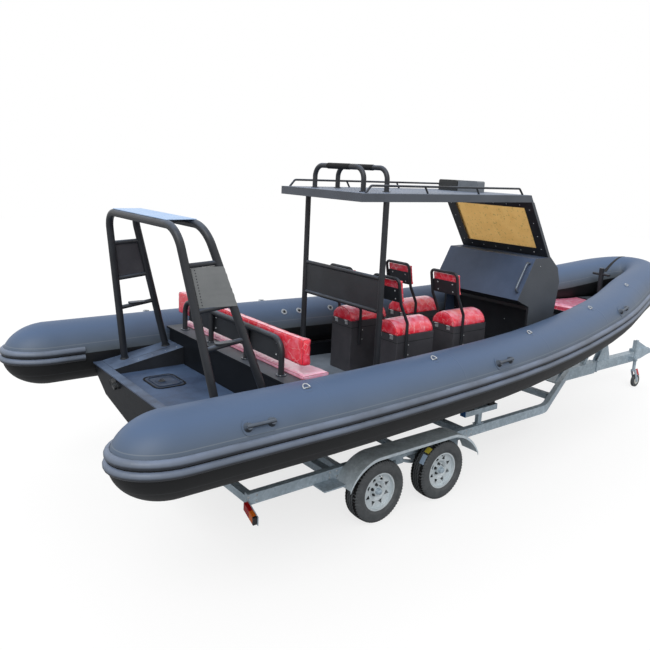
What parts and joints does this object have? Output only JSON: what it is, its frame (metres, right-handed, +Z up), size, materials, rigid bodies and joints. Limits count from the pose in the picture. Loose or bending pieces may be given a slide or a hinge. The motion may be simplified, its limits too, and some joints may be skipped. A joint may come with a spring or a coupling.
{
  "type": "rigid inflatable boat on road trailer",
  "caption": "Rigid inflatable boat with stern arch, T-top console and jockey seats, parked on a galvanised tandem-axle trailer whose wheels roll and jockey wheel swivels.",
  "frame": {"origin": "on the ground, halfway along the whole length, on the centreline", "axes": "+X forward to the bow and coupling, +Y to port, +Z up"},
  "size_m": [9.6472, 3.4024, 3.2899],
  "materials": {
    "collar_fabric": "satin slate-grey coated cloth",
    "strake_rubber": "satin moulded rubber",
    "handle_rubber": "moulded rubber",
    "hull_paint": "satin black paint",
    "deck_paint": "matt grey deck paint",
    "well_paint": "satin grey paint",
    "black_paint": "satin black powder coat",
    "console_paint": "satin dark grey paint",
    "panel_paint": "satin grey sheet",
    "red_vinyl": "red vinyl under clear wrap",
    "pink_vinyl": "vinyl under milky wrap",
    "pane_cover": "clear pane under tan cover paper",
    "gasket_rubber": "black seal",
    "hatch_plastic": "grey moulded lid",
    "hinge_steel": "polished",
    "galvanised": "hot-dip zinc",
    "pad_rubber": "black",
    "tyre_rubber": "new road tyre",
    "rim_steel": "silver paint",
    "lamp_red": "red and amber lens",
    "caster_rubber": "black tread on white hub",
    "lamp_black": "black housing"
  },
  "bodies": {
    "seat_lid_1": {"saddle_1": "red_vinyl"},
    "wheel_1": {"tyre_1": "tyre_rubber", "rim_1": "rim_steel"},
    "seat_lid_2": {"saddle_2": "red_vinyl"},
    "wheel_2": {"tyre_2": "tyre_rubber", "rim_2": "rim_steel"},
    "seat_lid_3": {"saddle_3": "red_vinyl"},
    "wheel_3": {"tyre_3": "tyre_rubber", "rim_3": "rim_steel"},
    "seat_lid_4": {"saddle_4": "red_vinyl"},
    "wheel_4": {"tyre_4": "tyre_rubber", "rim_4": "rim_steel"},
    "hatch_cover": {"hatch_lid": "hatch_plastic"},
    "jockey_swivel": {"jockey_fork": "galvanised"},
    "jockey_roller": {"jockey_wheel": "caster_rubber"},
    "boat_on_trailer": {"buoyancy_tube": "collar_fabric", "rub_strakes": "strake_rubber", "grab_handles": "handle_rubber", "hull": "hull_paint", "deck_sole": "deck_paint", "engine_well": "well_paint", "stern_boxes": "well_paint", "hatch_gasket": "gasket_rubber", "bench_locker": "hull_paint", "bench_back_frame": "black_paint", "bench_back_panel": "black_paint", "bench_back_cushion": "red_vinyl", "bench_seat_cushion": "pink_vinyl", "arch_frame": "black_paint", "arch_panels": "panel_paint", "roof": "console_paint", "roof_posts": "black_paint", "roof_hoops": "black_paint", "roof_rails": "black_paint", "roof_lamp_boxes": "lamp_black", "lean_panel": "black_paint", "windscreen_frame": "black_paint", "windscreen_pane": "pane_cover", "console": "console_paint", "console_handrail": "black_paint", "seat_bases": "black_paint", "seat_back_frames": "black_paint", "seat_back_boards": "black_paint", "seat_back_pads": "red_vinyl", "seat_hinges": "hinge_steel", "bow_locker": "hull_paint", "bow_cushion": "pink_vinyl", "mooring_bitt": "black_paint", "trailer_rails": "galvanised", "trailer_crossbeams": "galvanised", "bunk_channels": "galvanised", "hull_pads": "pad_rubber", "suspension": "galvanised", "mudguards": "galvanised", "trailer_plates": "galvanised", "tail_lamps": "lamp_red", "drawbar": "galvanised", "bow_post": "galvanised", "coupling_head": "galvanised", "jockey_stem": "galvanised"}
  },
  "joints": [
    {"name": "seat_lid_1_hinge", "type": "hinge", "parent": "boat_on_trailer", "child": "seat_lid_1", "pos_m": [-1.532, 0.36, 1.606], "axis": [0, -1, 0], "range_deg": [0, 45]},
    {"name": "seat_lid_2_hinge", "type": "hinge", "parent": "boat_on_trailer", "child": "seat_lid_2", "pos_m": [-1.532, -0.36, 1.606], "axis": [0, -1, 0], "range_deg": [0, 45]},
    {"name": "seat_lid_3_hinge", "type": "hinge", "parent": "boat_on_trailer", "child": "seat_lid_3", "pos_m": [-0.685, 0.36, 1.606], "axis": [0, -1, 0], "range_deg": [0, 45]},
    {"name": "seat_lid_4_hinge", "type": "hinge", "parent": "boat_on_trailer", "child": "seat_lid_4", "pos_m": [-0.685, -0.36, 1.606], "axis": [0, -1, 0], "range_deg": [0, 45]},
    {"name": "wheel_1_spin", "type": "hinge", "parent": "boat_on_trailer", "child": "wheel_1", "pos_m": [-2.1225, 0.9675, 0.3075], "axis": [0, 1, 0], "continuous": true},
    {"name": "wheel_2_spin", "type": "hinge", "parent": "boat_on_trailer", "child": "wheel_2", "pos_m": [-2.1225, -0.9675, 0.3075], "axis": [0, 1, 0], "continuous": true},
    {"name": "wheel_3_spin", "type": "hinge", "parent": "boat_on_trailer", "child": "wheel_3", "pos_m": [-1.2755, 0.9675, 0.3075], "axis": [0, 1, 0], "continuous": true},
    {"name": "wheel_4_spin", "type": "hinge", "parent": "boat_on_trailer", "child": "wheel_4", "pos_m": [-1.2755, -0.9675, 0.3075], "axis": [0, 1, 0], "continuous": true},
    {"name": "hatch_hinge", "type": "hinge", "parent": "boat_on_trailer", "child": "hatch_cover", "pos_m": [-3.506, 0.33, 1.246], "axis": [0, 1, 0], "range_deg": [0, 95]},
    {"name": "jockey_swivel_turn", "type": "hinge", "parent": "boat_on_trailer", "child": "jockey_swivel", "pos_m": [4.128, -0.148, 0.28], "axis": [0, 0, 1], "continuous": true},
    {"name": "jockey_roller_spin", "type": "hinge", "parent": "jockey_swivel", "child": "jockey_roller", "pos_m": [4.216, -0.148, 0.1], "axis": [0, 1, 0], "continuous": true}
  ]
}
